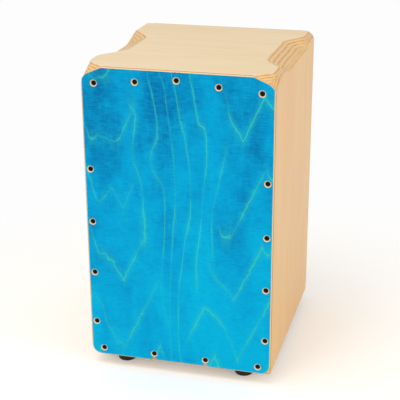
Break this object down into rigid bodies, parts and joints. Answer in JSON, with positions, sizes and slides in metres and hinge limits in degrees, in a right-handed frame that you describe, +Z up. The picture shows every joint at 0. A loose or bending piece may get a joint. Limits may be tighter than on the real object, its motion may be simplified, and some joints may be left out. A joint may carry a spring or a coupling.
{
  "type": "cajon",
  "caption": "Box-shaped wooden percussion instrument with a stained front plate, scooped hand rests, rear sound hole, tunable snare strings and rubber feet.",
  "frame": {"origin": "centre of the box's plan, at floor level under the feet", "axes": "+Z up, the playing plate faces -Y, X runs across the front"},
  "size_m": [0.3, 0.33, 0.504],
  "materials": {
    "seat_ply": "satin lacquer",
    "side_ply": "satin lacquer",
    "back_ply": "satin lacquer",
    "stained_ply": "blue stain under satin lacquer",
    "batten_wood": "bare",
    "black_steel": "black phosphate",
    "zinc_steel": "zinc plated",
    "brass_parts": "turned brass",
    "string_steel": "wound wire",
    "foot_rubber": "matt black"
  },
  "bodies": {
    "box": {"seat_board": "seat_ply", "base_board": "side_ply", "left_side": "side_ply", "right_side": "side_ply", "front_plate": "stained_ply", "back_panel": "back_ply", "front_plate_screws": "black_steel", "back_panel_screws": "black_steel", "top_front_rail": "batten_wood", "top_left_glue_block": "batten_wood", "top_right_glue_block": "batten_wood", "bottom_left_glue_block": "batten_wood", "bottom_right_glue_block": "batten_wood", "string_anchor_bar": "batten_wood", "anchor_bar_screws": "black_steel", "string_ball_ends": "brass_parts", "lower_string_rail": "batten_wood", "left_bolt_washer": "zinc_steel", "right_bolt_washer": "zinc_steel", "front_left_foot": "foot_rubber", "front_right_foot": "foot_rubber", "back_left_foot": "foot_rubber", "back_right_foot": "foot_rubber", "foot_screws": "zinc_steel", "foot_washers": "zinc_steel"},
    "left_tuner": {"left_tuning_bolt": "zinc_steel"},
    "left_carrier": {"left_string_carrier": "brass_parts", "left_strings": "string_steel", "left_string_ferrules": "brass_parts"},
    "right_tuner": {"right_tuning_bolt": "zinc_steel"},
    "right_carrier": {"right_string_carrier": "brass_parts", "right_strings": "string_steel", "right_string_ferrules": "brass_parts"}
  },
  "joints": [
    {"name": "left_tuning_bolt_turn", "type": "hinge", "parent": "box", "child": "left_tuner", "pos_m": [-0.028, -0.152, 0.033], "axis": [0, 0, 1], "range_deg": [-720, 1440]},
    {"name": "left_carrier_travel", "type": "slide", "parent": "box", "child": "left_carrier", "axis": [0, 0, -1], "range_m": [-0.002, 0.004], "deforming": ["left_strings"]},
    {"name": "right_tuning_bolt_turn", "type": "hinge", "parent": "box", "child": "right_tuner", "pos_m": [0.028, -0.152, 0.033], "axis": [0, 0, 1], "range_deg": [-720, 1440]},
    {"name": "right_carrier_travel", "type": "slide", "parent": "box", "child": "right_carrier", "axis": [0, 0, -1], "range_m": [-0.002, 0.004], "deforming": ["right_strings"]}
  ],
  "couplings": [
    {"joint": "left_tuning_bolt_turn", "follows": "left_carrier_travel", "rad_per_m": 6283.2},
    {"joint": "right_tuning_bolt_turn", "follows": "right_carrier_travel", "rad_per_m": 6283.2}
  ]
}
